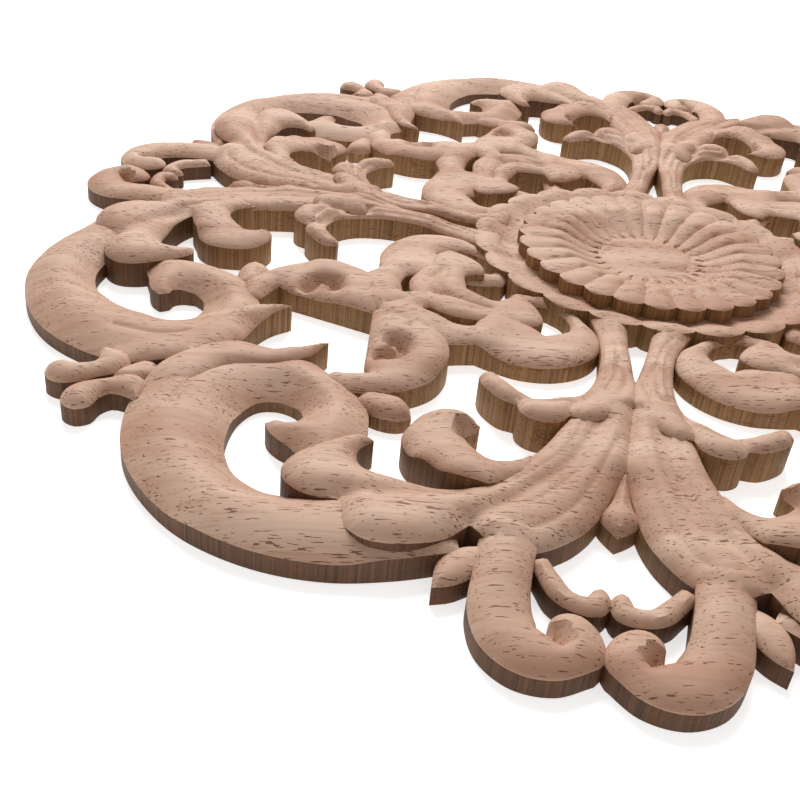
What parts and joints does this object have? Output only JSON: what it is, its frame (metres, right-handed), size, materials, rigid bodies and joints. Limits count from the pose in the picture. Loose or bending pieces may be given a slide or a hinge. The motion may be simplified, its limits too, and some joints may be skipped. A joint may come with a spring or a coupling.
{
  "type": "carved wood applique",
  "caption": "Pierced carved wood ornament: a lobed rosette with mirrored leaf scrolls round it, flat-backed, to fix on a panel, door or wall.",
  "frame": {"origin": "centre of the flat back, under the middle of the rosette", "axes": "+Z out of the carved face; X and Y along the four arms that end in the paired finials"},
  "size_m": [0.3942, 0.3942, 0.0128],
  "materials": {
    "wood": "bare rubberwood, sanded"
  },
  "bodies": {
    "root": {"applique": "wood"}
  },
  "joints": []
}
